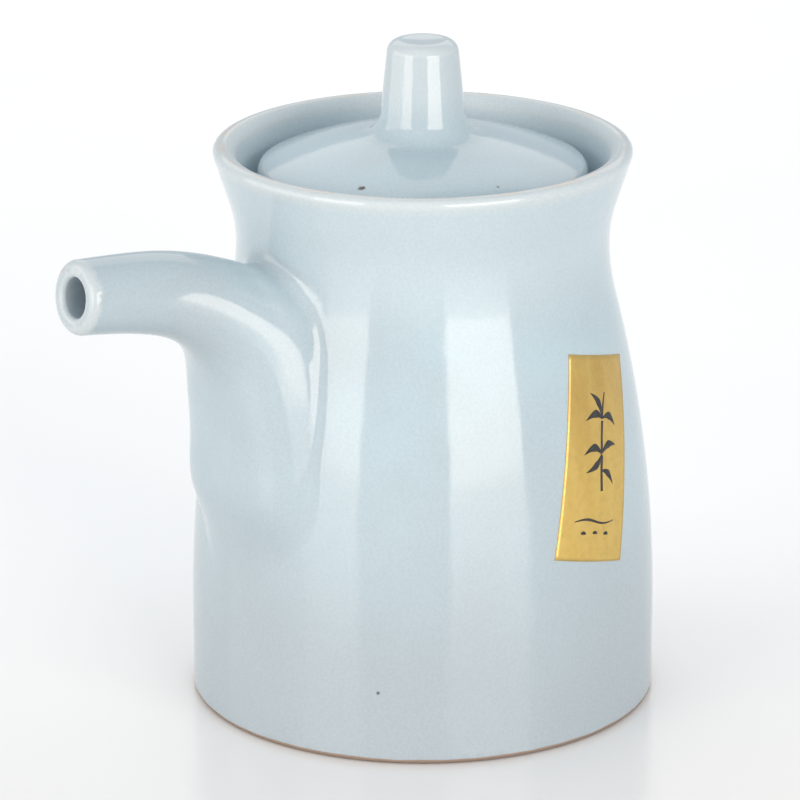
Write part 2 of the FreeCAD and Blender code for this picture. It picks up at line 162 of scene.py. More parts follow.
def waist_circle():
    """Radius of the waist's arc, and the height where it touches the belly's arc."""
    run = NECK_RADIUS - (BASE_RADIUS - BELLY_ARC)
    rise = NECK_HEIGHT - STRAIGHT_TOP
    waist = (run**2 + rise**2 - BELLY_ARC**2) / (2 * (BELLY_ARC - run))
    return waist, STRAIGHT_TOP + BELLY_ARC * math.sin(math.atan2(rise, run + waist))


def flare_line():
    """Height where the rim's straight flare leaves its arc, and how much it widens per millimetre."""
    across, up = NECK_RADIUS + FLARE_ARC - RIM_RADIUS, RIM_HEIGHT - NECK_HEIGHT
    slope = math.atan2(up, across) - math.acos(FLARE_ARC / math.hypot(across, up))
    return NECK_HEIGHT + FLARE_ARC * math.sin(slope), math.tan(slope)


WAIST_ARC, TOUCH_HEIGHT = waist_circle()
LEAVE_HEIGHT, FLARE_SLOPE = flare_line()


def vessel_radius(z):
    """Outside radius of the vessel at height z: upright foot, long belly arc, waist, flare."""
    belly = BASE_RADIUS - BELLY_ARC + np.sqrt(BELLY_ARC**2 - np.clip(z - STRAIGHT_TOP, 0, BELLY_ARC / 2) ** 2)
    reach = np.clip(z - NECK_HEIGHT, -WAIST_ARC / 2, FLARE_ARC / 2)
    waist = NECK_RADIUS + WAIST_ARC - np.sqrt(WAIST_ARC**2 - reach**2)
    flare = NECK_RADIUS + FLARE_ARC - np.sqrt(FLARE_ARC**2 - np.clip(reach, 0, None) ** 2)
    line = RIM_RADIUS + (z - RIM_HEIGHT) * FLARE_SLOPE
    return np.select([z < TOUCH_HEIGHT, z < NECK_HEIGHT, z < LEAVE_HEIGHT], [belly, waist, flare], line)


def wall_distance(r, z, inset=0.0):
    """Distance from the vessel's side, moved inwards by inset."""
    step = 0.01
    slope = (vessel_radius(z + step) - vessel_radius(z - step)) / (2 * step)
    return (r - vessel_radius(z)) / np.sqrt(1 + slope**2) + inset


def cavity_distance(r, z):
    """Distance from the hollow of the vessel, ledge and mouth included."""
    shoulder = vessel_radius(np.array(CAVITY_TOP)) - WALL
    close_angle = math.atan2(shoulder - THROAT_RADIUS, THROAT_BOTTOM - CAVITY_TOP)
    cone = (r - THROAT_RADIUS) * math.cos(close_angle) + (z - THROAT_BOTTOM) * math.sin(close_angle)
    belly = meet(wall_distance(r, z, WALL), cone, CLOSING_ROUND)
    belly = meet(belly, FLOOR_TOP - z, FLOOR_ROUND)
    throat = np.maximum(r - THROAT_RADIUS, THROAT_BOTTOM - THROAT_OVERLAP - z)
    widen = math.atan2(RIM_INNER_RADIUS - GALLERY_RADIUS, RIM_HEIGHT - SEAT_HEIGHT)
    gallery = (r - GALLERY_RADIUS) * math.cos(widen) - (z - SEAT_HEIGHT) * math.sin(widen)
    gallery = meet(gallery, SEAT_HEIGHT - z, LEDGE_ROUND)
    return join(join(belly, throat, THROAT_ROUND), gallery, LEDGE_EDGE_ROUND)


class Spline:
    """A natural cubic spline through rows of values at t = 0, 1, 2 and so on."""

    def __init__(self, rows):
        self.rows = rows
        count = len(rows)
        matrix = np.eye(count)
        right = np.zeros_like(rows)
        for i in range(1, count - 1):
            matrix[i, i - 1 : i + 2] = (1, 4, 1)
            right[i] = 6 * (rows[i + 1] - 2 * rows[i] + rows[i - 1])
        self.bend = np.linalg.solve(matrix, right)

    def __call__(self, t):
        i = np.clip(np.floor(t).astype(int), 0, len(self.rows) - 2)
        b = (t - i)[:, None]
        a = 1 - b
        cubic = (a**3 - a) * self.bend[i] + (b**3 - b) * self.bend[i + 1]
        return a * self.rows[i] + b * self.rows[i + 1] + cubic / 6


HORN = Spline(RIBS)
HORN_END = len(RIBS) - 1.0
HORN_T = np.linspace(-0.8, HORN_END + 0.8, 120)


def rib_gap(u, z, t):
    """How far (u, z) lies past the plane of the rib at t, towards the toe, and the rib itself."""
    rib = HORN(t)
    lean = np.radians(rib[:, 2])
    return (u - rib[:, 0]) * -np.sin(lean) + (z - rib[:, 1]) * np.cos(lean), rib, lean


def find_rib(u, z):
    """The place t along the spout whose rib plane holds each point (u, z)."""
    table = HORN(HORN_T)
    lean = np.radians(table[:, 2])
    gap = (u[:, None] - table[:, 0]) * -np.sin(lean) + (z[:, None] - table[:, 1]) * np.cos(lean)
    away = np.hypot(u[:, None] - table[:, 0], z[:, None] - table[:, 1])
    crosses = gap[:, :-1] * gap[:, 1:] <= 0
    away = np.where(crosses, away[:, :-1], np.inf)
    first = np.argmin(away, 1)
    found = np.isfinite(away[np.arange(len(u)), first])
    g0, g1 = gap[np.arange(len(u)), first], gap[np.arange(len(u)), first + 1]
    span = HORN_T[1] - HORN_T[0]
    t0 = HORN_T[first]
    t = t0 + span * g0 / np.where(g0 == g1, 1, g0 - g1)
    for _ in range(2):
        value = rib_gap(u, z, t)[0]
        slope = (rib_gap(u, z, t + 0.01)[0] - value) / 0.01
        t = t - np.clip(value / slope, -span, span)
    return t, found


def rib_distance(across, deep, width, depth, power):
    """First-order distance from a rib's outline. A power of 2 is an ellipse, a higher one squarer."""
    a, b = np.abs(across / width), np.abs(deep / depth)
    k = np.maximum((a**power + b**power) ** (1 / power), 0.2)
    steep = np.hypot((a / k) ** (power - 1) / width, (b / k) ** (power - 1) / depth)
    return (k - 1) / np.maximum(steep, 1 / np.maximum(width, depth))


FAR = 40.0


def horn_distances(p):
    """Distances from the spout's outside and from its hollow."""
    outside = np.full(len(p), FAR)
    hollow = np.full(len(p), FAR)
    near = ((p > SPOUT_LOW) & (p < SPOUT_HIGH)).all(1)
    u, y, z = -p[near, 0], p[near, 1], p[near, 2]
    for part in np.array_split(np.arange(len(u)), max(1, len(u) // 20000)):
        t, found = find_rib(u[part], z[part])
        _, rib, lean = rib_gap(u[part], z[part], t)
        deep = (u[part] - rib[:, 0]) * np.cos(lean) + (z[part] - rib[:, 1]) * np.sin(lean)
        power = 2 + SQUARER * ramp(3.5, 6, t)
        shell = rib_distance(y[part], deep, np.maximum(rib[:, 4], 1), np.maximum(rib[:, 3], 1), power)
        inner = rib_distance(y[part], deep, np.maximum(rib[:, 6], 0.3), np.maximum(rib[:, 5], 0.3), 2.0)
        index = np.flatnonzero(near)[part]
        outside[index] = np.where(found, shell, FAR)
        hollow[index] = np.where(found, inner, FAR)
    return outside, hollow


def mouth_distance(p):
    """How far a point is past the plane of the spout's mouth."""
    lean = math.radians(RIBS[0, 2])
    return (-p[:, 0] - RIBS[0, 0]) * math.sin(lean) - (p[:, 2] - RIBS[0, 1]) * math.cos(lean)


def pot_distance(p):
    """Distance from the skin of vessel and spout, below zero in the porcelain."""
    r, z = np.hypot(p[:, 0], p[:, 1]), p[:, 2]
    wall = wall_distance(r, z)
    horn, duct = horn_distances(p)
    crease = TOE_ROUND + (CREASE_ROUND - TOE_ROUND) * ramp(*CREASE_HEIGHTS, z)
    crease = crease + SHOULDER_EXTRA * ramp(*SHOULDER_HEIGHTS, z)
    skin = join(wall, horn, crease)
    skin = meet(skin, mouth_distance(p), MOUTH_ROUND)
    duct = meet(duct, -wall, DUCT_ROUND)
    hole = np.hypot(p[:, 1], z - POUR_HOLE_HEIGHT) - POUR_HOLE_RADIUS
    hole = np.maximum(np.maximum(hole, p[:, 0] + HOLE_REACH[0]), -p[:, 0] - HOLE_REACH[1])
    duct = join(duct, hole, HOLE_ROUND)
    skin = meet(skin, -duct, BORE_ROUND)
    skin = meet(skin, -cavity_distance(r, z), INNER_LIP_ROUND)
    skin = meet(skin, z - RIM_HEIGHT, LIP_ROUND)
    skin = meet(skin, -z, FOOT_ROUND)
    recess = meet(r - FOOT_RING_INNER, z - FOOT_RECESS, RECESS_ROUND)
    return meet(skin, -recess, RING_EDGE_ROUND)


# ------------------------------------------------------------------ meshing a distance
def gradient(distance, p, step=0.02):
    """Direction in which the distance grows fastest."""
    columns = []
    for axis in range(3):
        shift = np.zeros(3)
        shift[axis] = step
        columns.append((distance(p + shift) - distance(p - shift)) / (2 * step))
    return np.stack(columns, 1)


def settle(distance, p, rounds, limit):
    """Moves points on to the zero surface of the distance, at most limit a round."""
    for _ in range(rounds):
        g = gradient(distance, p)
        size = np.maximum((g * g).sum(1), 0.05)
        move = distance(p) / size
        move = np.clip(move * np.sqrt(size), -limit, limit) / np.sqrt(size)
        p = p - g * move[:, None]
    return p


def surface_net(distance, low, high, step):
    """Points and quads around the zero surface: one point in each grid cell that it crosses."""
    axes = [np.arange(low[i], high[i] + step, step) for i in range(3)]
    shape = [len(a) for a in axes]
    grid = np.stack(np.meshgrid(*axes, indexing="ij"), -1)
    value = distance(grid.reshape(-1, 3)).reshape(shape)
    inside = value < 0
    total = np.zeros(shape + [3])
    hits = np.zeros(shape)
    crossings = []
    for axis in range(3):
        a = [slice(None)] * 3
        b = [slice(None)] * 3
        a[axis], b[axis] = slice(None, -1), slice(1, None)
        cross = np.argwhere(inside[tuple(a)] != inside[tuple(b)])
        other = cross.copy()
        other[:, axis] += 1
        v0, v1 = value[tuple(cross.T)], value[tuple(other.T)]
        spot = grid[tuple(cross.T)] + (grid[tuple(other.T)] - grid[tuple(cross.T)]) * (v0 / (v0 - v1))[:, None]
        crossings.append((axis, cross, v0 < 0))
        for du in (0, 1):
            for dv in (0, 1):
                cell = cross.copy()
                cell[:, (axis + 1) % 3] -= du
                cell[:, (axis + 2) % 3] -= dv
                np.add.at(total, tuple(cell.T), spot)
                np.add.at(hits, tuple(cell.T), 1)
    used = hits > 0
    number = np.full(shape, -1)
    number[used] = np.arange(used.sum())
    points = total[used] / hits[used][:, None]
    quads = []
    for axis, cross, outward in crossings:
        ring = []
        for du, dv in ((1, 1), (0, 1), (0, 0), (1, 0)):
            cell = cross.copy()
            cell[:, (axis + 1) % 3] -= du
            cell[:, (axis + 2) % 3] -= dv
            ring.append(number[tuple(cell.T)])
        ring = np.stack(ring, 1)
        ring[~outward] = ring[~outward][:, ::-1]
        quads.append(ring)
    return points, np.concatenate(quads)


def relax(distance, p, quads, rounds):
    """Spreads points evenly along the surface."""
    pairs = np.concatenate([quads[:, [0, 1]], quads[:, [1, 2]], quads[:, [2, 3]], quads[:, [3, 0]]])
    pairs = np.concatenate([pairs, pairs[:, ::-1]])
    count = np.bincount(pairs[:, 0], minlength=len(p))[:, None]
    for _ in range(rounds):
        mean = np.zeros_like(p)
        for axis in range(3):
            mean[:, axis] = np.bincount(pairs[:, 0], p[pairs[:, 1], axis], len(p))
        move = mean / count - p
        n = gradient(distance, p)
        n /= np.maximum(np.linalg.norm(n, axis=1), 1e-6)[:, None]
        p = p + 0.6 * (move - n * (move * n).sum(1)[:, None])
        p = settle(distance, p, 1, 0.3)
    return p


def unit_normals(distance, p):
    n = gradient(distance, p)
    return n / np.maximum(np.linalg.norm(n, axis=1), 1e-6)[:, None]


def refine(distance, mesh, angle, rounds):
    """Halves the edges across which the surface turns by more than angle degrees."""
    for _ in range(rounds):
        bm = bmesh.new()
        bm.from_mesh(mesh)
        p = np.array([v.co for v in bm.verts])
        n = unit_normals(distance, p)
        ends = np.array([[e.verts[0].index, e.verts[1].index] for e in bm.edges])
        turn = (n[ends[:, 0]] * n[ends[:, 1]]).sum(1)
        bm.edges.ensure_lookup_table()
        sharp = [bm.edges[i] for i in np.flatnonzero(turn < math.cos(math.radians(angle)))]
        bmesh.ops.subdivide_edges(bm, edges=sharp, cuts=1, use_grid_fill=True)
        bmesh.ops.triangulate(bm, faces=[f for f in bm.faces if len(f.verts) > 4])
        bm.to_mesh(mesh)
        bm.free()
        p = np.array([v.co for v in mesh.vertices])
        set_points(mesh, settle(distance, p, 3, 0.2))


def set_points(mesh, p):
    mesh.vertices.foreach_set("co", np.asarray(p, np.float32).ravel())
    mesh.update()


def bend_of(distance, p, step=0.35):
    """How sharply the surface bends, per millimetre: above 0 on outer edges and below 0 in creases."""
    total = -6 * distance(p)
    for axis in range(3):
        shift = np.zeros(3)
        shift[axis] = step
        total += distance(p + shift) + distance(p - shift)
    return total / step**2


def add_object(name, mesh, body, material):
    piece = bpy.data.objects.new(name, mesh)
    bpy.context.scene.collection.objects.link(piece)
    mesh.materials.append(material)
    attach(piece, body)
    return piece


def finish_mesh(mesh, normals=None):
    """Scales a mesh from millimetres to metres, smooth, with exact normals where they are given."""
    p = np.array([v.co for v in mesh.vertices])
    set_points(mesh, p * MM)
    mesh.polygons.foreach_set("use_smooth", np.ones(len(mesh.polygons), bool))
    if normals is not None:
        mesh.normals_split_custom_set_from_vertices(normals.tolist())
    mesh.update()


def make_pot(material):
    """Vessel and spout as one skin, with its bend kept for the glaze."""
    step = 1.1
    low = np.array([cad_box[0][0], cad_box[0][1], 0]) / MM - 2 * step
    high = np.array([cad_box[1][0], cad_box[1][1], RIM_HEIGHT * MM]) / MM + 2 * step
    p, quads = surface_net(pot_distance, low, high, step)
    p = settle(pot_distance, p, 4, 0.4)
    p = relax(pot_distance, p, quads, 6)
    mesh = bpy.data.meshes.new("pot_with_spout")
    mesh.from_pydata(p.tolist(), [], quads.tolist())
    refine(pot_distance, mesh, 16, 2)
    p = np.array([v.co for v in mesh.vertices])
    n = unit_normals(pot_distance, p)
    bend = mesh.attributes.new("bend", "FLOAT", "POINT")
    bend.data.foreach_set("value", bend_of(pot_distance, p).astype(np.float32))
    finish_mesh(mesh, n)
    piece = add_object("pot_with_spout", mesh, "pot", material)
    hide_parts("pot_body", "spout")


# ------------------------------------------------------------------ lid and knob
def rounded(corners, steps=8):
    """A chain of (radius, height) points from corners (radius, height, fillet)."""
    chain = []
    for i, (r, z, fillet) in enumerate(corners):
        here = np.array([r, z])
        if fillet == 0 or i in (0, len(corners) - 1):
            chain.append(here)
            continue
        back = np.array(corners[i - 1][:2]) - here
        ahead = np.array(corners[i + 1][:2]) - here
        back /= np.linalg.norm(back)
        ahead /= np.linalg.norm(ahead)
        half = math.acos(float(np.clip(back @ ahead, -1, 1))) / 2
        middle = here + (back + ahead) / np.linalg.norm(back + ahead) * fillet / math.sin(half)
        start = here + back * fillet / math.tan(half) - middle
        end = here + ahead * fillet / math.tan(half) - middle
        sweep = math.atan2(start[0] * end[1] - start[1] * end[0], start @ end)
        for k in range(steps + 1):
            a = sweep * k / steps
            across = start[0] * math.cos(a) - start[1] * math.sin(a)
            up = start[0] * math.sin(a) + start[1] * math.cos(a)
            chain.append(middle + np.array([across, up]))
    return np.array(chain)


DOME_ARC = 62.0
DOME_START = (22.6, 82.4)
LID_THICK = 3.4
LID_REST_RADIUS = 23.8
LID_SIDE_BOTTOM = 78.0
COLLAR = 21.7
COLLAR_INNER = 18.6
KNOB_ROOT = 10.0  # where the knob's root runs out on the dome
KNOB_WAIST = 6.55
KNOB_ROOT_ROUND = 3.9
KNOB_CROWN = ((0, 0.35, 0), (3.2, 0.1, 2.0), (5.15, 0.1, 1.9))  # radius, depth below the top, fillet


def dome_height(r, thinner=0.0):
    middle = DOME_START[1] - math.sqrt(DOME_ARC**2 - DOME_START[0] ** 2)
    return middle + math.sqrt((DOME_ARC - thinner) ** 2 - r**2)


def lid_profile():
    """Half section of lid and knob, from the knob's top down and back under the dome."""
    edge = LID_HIGH[0]
    fall = -KNOB_ROOT / math.sqrt(DOME_ARC**2 - KNOB_ROOT**2)
    root_z = dome_height(KNOB_ROOT) + (KNOB_WAIST - KNOB_ROOT) * fall
    corners = [(r, KNOB_HIGH[2] - depth, fillet) for r, depth, fillet in KNOB_CROWN]
    corners += [(KNOB_WAIST, root_z, KNOB_ROOT_ROUND)]
    corners += [(r, dome_height(r), 0) for r in np.linspace(KNOB_ROOT + 0.6, 22.4, 16)]
    corners += [(edge - 0.02, dome_height(edge), 1.5), (edge, LID_SIDE_BOTTOM, 0.7)]
    corners += [(LID_REST_RADIUS, SEAT_HEIGHT, 0.4)]
    corners += [(COLLAR, SEAT_HEIGHT, 0.5), (COLLAR, LID_LOW[2], 0.9), (COLLAR_INNER, LID_LOW[2], 0.9)]
    corners += [(COLLAR_INNER, dome_height(COLLAR_INNER, LID_THICK), 2.0)]
    corners += [(r, dome_height(r, LID_THICK), 0) for r in np.linspace(15.5, 0, 10)]
    return rounded(corners)


def turned_mesh(name, profile, segments):
    """A closed solid turned about the vertical axis. The profile starts and ends on the axis."""
    angles = np.linspace(0, 2 * math.pi, segments, endpoint=False)
    ring = profile[1:-1]
    points = [(0, 0, profile[0][1])]
    for r, z in ring:
        points += [(r * math.cos(a), r * math.sin(a), z) for a in angles]
    points.append((0, 0, profile[-1][1]))
    faces = []
    for j in range(segments):
        k = (j + 1) % segments
        faces.append((0, 1 + j, 1 + k))
        for i in range(len(ring) - 1):
            a, b = 1 + i * segments, 1 + (i + 1) * segments
            faces.append((a + j, b + j, b + k, a + k))
        last = 1 + (len(ring) - 1) * segments
        faces.append((last + j, len(points) - 1, last + k))
    mesh = bpy.data.meshes.new(name)
    mesh.from_pydata(points, [], faces)
    return mesh


def make_lid(material):
    profile = lid_profile()
    segments = 192
    mesh = turned_mesh("lid_with_knob", profile, segments)
    ring = profile[1:-1]
    ahead = np.roll(ring, -1, 0) - np.roll(ring, 1, 0)
    back = ring - np.roll(ring, 1, 0)
    fore = np.roll(ring, -1, 0) - ring
    cross = back[:, 0] * fore[:, 1] - back[:, 1] * fore[:, 0]
    length = np.linalg.norm(back, axis=1) * np.linalg.norm(fore, axis=1)
    bend = -2 * cross / np.maximum(length, 1e-6) / np.maximum(np.linalg.norm(ahead, axis=1), 0.05)
    bend[[0, -1]] = 0
    values = np.concatenate([[0], np.repeat(bend, segments), [0]])
    mesh.attributes.new("bend", "FLOAT", "POINT").data.foreach_set("value", values.astype(np.float32))
    finish_mesh(mesh)
    piece = add_object("lid_with_knob", mesh, "lid_set", material)
    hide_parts("lid", "lid_knob")


# ------------------------------------------------------------------ label
LABEL_WIDTH = 14.4
LABEL_HEIGHT = 30.0
LABEL_CENTRE = 42.2
LABEL_TURN = math.radians(-74.1)
LABEL_SKEW = math.radians(14.4)
FOIL_THICK = 0.12
INK_LAYER = (0.1, 0.145)  # bottom and top of the ink above the wall


def on_label(a, b, lift):
    """Point on the wall from the label's own across and up, raised by lift."""
    s = a * math.cos(LABEL_SKEW) + b * math.sin(LABEL_SKEW)
    z = LABEL_CENTRE - a * math.sin(LABEL_SKEW) + b * math.cos(LABEL_SKEW)
    r = float(vessel_radius(np.array(z)))
    angle = LABEL_TURN + s / r
    return ((r + lift) * math.cos(angle), (r + lift) * math.sin(angle), z)


def thin_patch(name, rows, low, high):
    """A closed thin solid on the label from rows of (across, up) points."""
    count, wide = len(rows), len(rows[0])
    points = [on_label(a, b, high) for row in rows for a, b in row]
    points += [on_label(a, b, low) for row in rows for a, b in row]
    under = count * wide
    faces = []
    for i in range(count - 1):
        for j in range(wide - 1):
            q = (i * wide + j, i * wide + j + 1, (i + 1) * wide + j + 1, (i + 1) * wide + j)
            faces.append(q)
            faces.append(tuple(under + k for k in reversed(q)))
    loop = list(range(wide)) + [i * wide + wide - 1 for i in range(1, count)]
    loop += [(count - 1) * wide + j for j in range(wide - 2, -1, -1)]
    loop += [i * wide for i in range(count - 2, 0, -1)]
    for here, there in zip(loop, loop[1:] + loop[:1]):
        faces.append((here, under + here, under + there, there))
    mesh = bpy.data.meshes.new(name)
    mesh.from_pydata(points, [], faces)
    return mesh


def make_label(material):
    across = np.linspace(-LABEL_WIDTH / 2, LABEL_WIDTH / 2, 29)
    up = np.linspace(-LABEL_HEIGHT / 2, LABEL_HEIGHT / 2, 41)
    rows = [[(a, b) for a in across] for b in up]
    mesh = thin_patch("foil_label", rows, 0.0, FOIL_THICK)
    finish_mesh(mesh)
    piece = add_object("foil_label", mesh, "pot", material)
    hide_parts("label")


def brush_rows(path, widths):
    """Rows across a brush stroke along path, as wide as widths, with pointed or round ends."""
    path = np.array(path, float)
    spline = Spline(path)
    t = np.linspace(0, len(path) - 1, 6 * len(path))
    line = spline(t)
    run = np.gradient(line, axis=0)
    run /= np.linalg.norm(run, axis=1)[:, None]
    side = np.stack([run[:, 1], -run[:, 0]], 1)
    width = np.interp(t, np.linspace(0, len(path) - 1, len(widths)), widths) / 2
    return [[tuple(c + s * w * k) for k in (-1, -0.4, 0.4, 1)] for c, s, w in zip(line, side, width)]


STROKES = [
    # bamboo stem in three lengths
    ([(0.9, -4.6), (0.6, -1.9), (0.5, 0.6)], (0.55, 0.5, 0.62)),
    ([(0.5, 1.1), (0.35, 3.3), (0.4, 5.6)], (0.6, 0.45, 0.55)),
    ([(0.4, 6.1), (0.6, 8.0), (1.0, 9.7)], (0.5, 0.38, 0.2)),
    # leaves
    ([(0.5, 5.9), (-1.2, 6.6), (-3.4, 5.6)], (0.25, 1.25, 0.06)),
    ([(0.5, 6.0), (-0.6, 8.3), (-2.6, 9.6)], (0.2, 1.1, 0.05)),
    ([(0.6, 6.0), (2.2, 6.3), (3.9, 4.9)], (0.2, 1.2, 0.06)),
    ([(0.5, 0.9), (2.1, 2.2), (4.0, 2.1)], (0.2, 1.2, 0.06)),
    ([(0.5, 0.8), (-1.3, 1.7), (-3.5, 0.6)], (0.2, 1.25, 0.06)),
    ([(0.5, 0.8), (-0.7, -0.9), (-2.9, -2.0)], (0.2, 1.1, 0.05)),
    ([(0.7, -1.6), (2.2, -2.0), (3.6, -3.6)], (0.2, 1.05, 0.05)),
    # ground line and pebbles under the sprig
    ([(-4.4, -9.2), (-1.6, -8.8), (1.4, -9.3), (4.3, -8.9)], (0.12, 0.42, 0.3, 0.1)),
    ([(-2.9, -10.9), (-2.4, -10.8), (-1.9, -10.9)], (0.25, 0.6, 0.25)),
    ([(-0.4, -10.8), (0.1, -10.7), (0.6, -10.8)], (0.25, 0.55, 0.25)),
    ([(2.1, -10.9), (2.6, -10.8), (3.1, -10.9)], (0.25, 0.6, 0.25)),
]


def make_print(material):
    """The printed sprig, a layer of ink on the foil."""
    bm = bmesh.new()
    for path, widths in STROKES:
        part = thin_patch("stroke", brush_rows(path, widths), *INK_LAYER)
        bm.from_mesh(part)
        bpy.data.meshes.remove(part)
    mesh = bpy.data.meshes.new("label_print")
    bm.to_mesh(mesh)
    bm.free()
    finish_mesh(mesh)
    add_object("label_print", mesh, "pot", material)


# ------------------------------------------------------------------ materials
class Nodes:
    """Adds nodes to a material and links them by name."""

    def __init__(self, name):
        self.material = bpy.data.materials.new(name)
        self.material.use_nodes = True
        self.tree = self.material.node_tree
        self.shader = self.tree.nodes["Principled BSDF"]

    def add(self, kind, inputs=None, **settings):
        node = self.tree.nodes.new("ShaderNode" + kind)
        for key, value in settings.items():
            setattr(node, key, value)
        for key, value in (inputs or {}).items():
            self.feed(node.inputs[key], value)
        return node

    def feed(self, socket, value):
        if isinstance(value, bpy.types.NodeSocket):
            self.tree.links.new(value, socket)
        else:
            socket.default_value = value

    def noise(self, scale, detail=3.0, vector=None):
        inputs = {"Scale": scale, "Detail": detail}
        inputs["Vector"] = vector or self.place
        return self.add("TexNoise", inputs).outputs["Fac"]

    @property
    def place(self):
        if not hasattr(self, "_place"):
            self._place = self.add("TexCoord").outputs["Object"]
        return self._place

    @property
    def height(self):
        return self.add("SeparateXYZ", {"Vector": self.place}).outputs["Z"]

    @property
    def radius(self):
        """Distance from the vertical axis."""
        flat = self.add("Mapping", {"Vector": self.place, "Scale": (1.0, 1.0, 0.0)}).outputs["Vector"]
        return self.add("VectorMath", {"Vector": flat}, operation="LENGTH").outputs["Value"]

    def spot(self, centre, outer, inner, strength):
        """A soft ragged spot of the given strength about a point."""
        node = self.add("VectorMath", operation="DISTANCE")
        self.feed(node.inputs[0], self.place)
        self.feed(node.inputs[1], centre)
        uneven = self.stretch(self.noise(2200, 2), 0.3, 0.7, 0.7, 1.3)
        ragged = self.math("MULTIPLY", node.outputs["Value"], uneven)
        return self.stretch(ragged, outer, inner, 0.0, strength)

    def stretch(self, value, low, high, to_low=0.0, to_high=1.0):
        inputs = {"Value": value, "From Min": low, "From Max": high, "To Min": to_low, "To Max": to_high}
        return self.add("MapRange", inputs, interpolation_type="SMOOTHSTEP").outputs["Result"]

    def mix(self, factor, a, b, blend="MIX"):
        node = self.add("Mix", data_type="RGBA", blend_type=blend)
        self.feed(node.inputs["Factor"], factor)
        self.feed(node.inputs["A"], a)
        self.feed(node.inputs["B"], b)
        return node.outputs["Result"]

    def math(self, operation, a, b):
        node = self.add("Math", operation=operation)
        self.feed(node.inputs[0], a)
        self.feed(node.inputs[1], b)
        return node.outputs[0]

    def bump(self, height, strength, distance, normal=None):
        inputs = {"Height": height, "Strength": strength, "Distance": distance}
        if normal is not None:
            inputs["Normal"] = normal
        return self.add("Bump", inputs).outputs["Normal"]

    def finish(self, **sockets):
        for key, value in sockets.items():
            self.feed(self.shader.inputs[key.replace("_", " ")], value)
        return self.material


CELADON = (0.415, 0.525, 0.58, 1)
# deep glaze colour, also used as painted shade towards the pot's foot
CELADON_DEEP_AND_SHADE = (0.35, 0.40, 0.435, 1)
# pale colour of the painted reflection on the neck
NECK_REFLECTION_PALE = (0.49, 0.59, 0.64, 1)
GLAZE_THIN = (0.545, 0.59, 0.605, 1)
MOUTH_RUST = (0.50, 0.27, 0.12, 1)
IRON = (0.05, 0.038, 0.03, 1)
GLAZE_EDGE = (0.55, 0.47, 0.40, 1)
CLAY = (0.27, 0.20, 0.155, 1)

# Spots in the glaze: centre in metres, the distances where each starts and is full, its strength.
RUST_SPOT = ((-0.0612, 0.0045, 0.0758), 0.0020, 0.0006, 0.5)
POT_SPECK = ((-0.0255, -0.0240, 0.0110), 0.0004, 0.0001, 0.8)
LID_SPECKS = (
    ((-0.01813, -0.01005, 0.0831), 0.0006, 0.0003, 1.0),
    ((-0.00177, -0.02091, 0.0830), 0.0004, 0.0001, 0.7),
)


def glaze(name, of_pot):
    """Celadon over porcelain: deep in creases, thin and pale on the rim and edges. On the pot, painted shade
    darkens it towards the foot and a painted reflection pales the neck.
    """
    n = Nodes(name)
    bend = n.add("Attribute", attribute_name="bend").outputs["Fac"]
    height, radius = n.height, n.radius
    thin = n.stretch(bend, 0.15, 0.75, 0.0, 0.5)
    pool = n.stretch(bend, -0.1, -0.8, 0.0, 0.6)
    rough = 0.1
    colour = n.mix(n.stretch(n.noise(45, 2), 0.35, 0.65, 0.0, 0.3), CELADON, CELADON_DEEP_AND_SHADE)
    if of_pot:
        # painted shade: the pot's glaze darkens from mid height down to the foot, as if less light reached it
        colour = n.mix(n.stretch(height, 0.054, 0.004, 0.0, 0.75), colour, CELADON_DEEP_AND_SHADE)
        # painted reflection: the neck under the flare is paled as if it reflected the bright floor in front
        painted_neck_reflection = n.math("MULTIPLY", n.stretch(height, 0.060, 0.074, 0.0, 0.6), n.stretch(radius, 0.036, 0.033))
        colour = n.mix(painted_neck_reflection, colour, NECK_REFLECTION_PALE)
        colour = n.mix(n.stretch(radius, 0.036, 0.044, 0.0, 0.4), colour, CELADON_DEEP_AND_SHADE)
        thin = n.math("MULTIPLY", thin, n.stretch(height, 0.050, 0.060))
        thin = n.math("MAXIMUM", thin, n.stretch(height, 0.0818, 0.0836, 0.0, 0.6))
    colour = n.mix(pool, colour, CELADON_DEEP_AND_SHADE)
    colour = n.mix(thin, colour, GLAZE_THIN)
    grain = n.stretch(n.noise(2600, 2), 0.3, 0.7, 0.965, 1.03)
    grey = n.add("CombineColor", {"Red": grain, "Green": grain, "Blue": grain}).outputs["Color"]
    colour = n.mix(1.0, colour, grey, "MULTIPLY")
    if of_pot:
        worn = n.stretch(n.noise(180, 3), 0.4, 0.7, 0.15, 0.6)
        colour = n.mix(n.math("MULTIPLY", worn, n.stretch(height, 0.08445, 0.0847)), colour, GLAZE_EDGE)
        colour = n.mix(n.spot(*RUST_SPOT), colour, MOUTH_RUST)
        colour = n.mix(n.spot(*POT_SPECK), colour, IRON)
        edge = n.math("ADD", height, n.math("MULTIPLY", n.noise(260, 2), 0.0003))
        bare = n.stretch(edge, 0.00075, 0.00095, 1.0, 0.0)
        colour = n.mix(bare, colour, CLAY)
        rough = n.stretch(bare, 0.0, 1.0, 0.1, 0.8)
        flare = n.math("SUBTRACT", radius, n.math("MULTIPLY", height, 0.36))
        rough = n.math("ADD", rough, n.stretch(flare, -0.0011, -0.0015, 0.0, 0.4))
    else:
        colour = n.mix(n.stretch(height, 0.088, 0.094, 0.0, 0.4), colour, GLAZE_THIN)
        for speck in LID_SPECKS:
            colour = n.mix(n.spot(*speck), colour, IRON)
    wave = n.bump(n.noise(28, 2), 0.35, 0.0012)
    ripple = n.bump(n.noise(420, 2), 0.08, 0.0002, wave)
    return n.finish(Base_Color=colour, Roughness=rough, Normal=ripple, IOR=1.52)


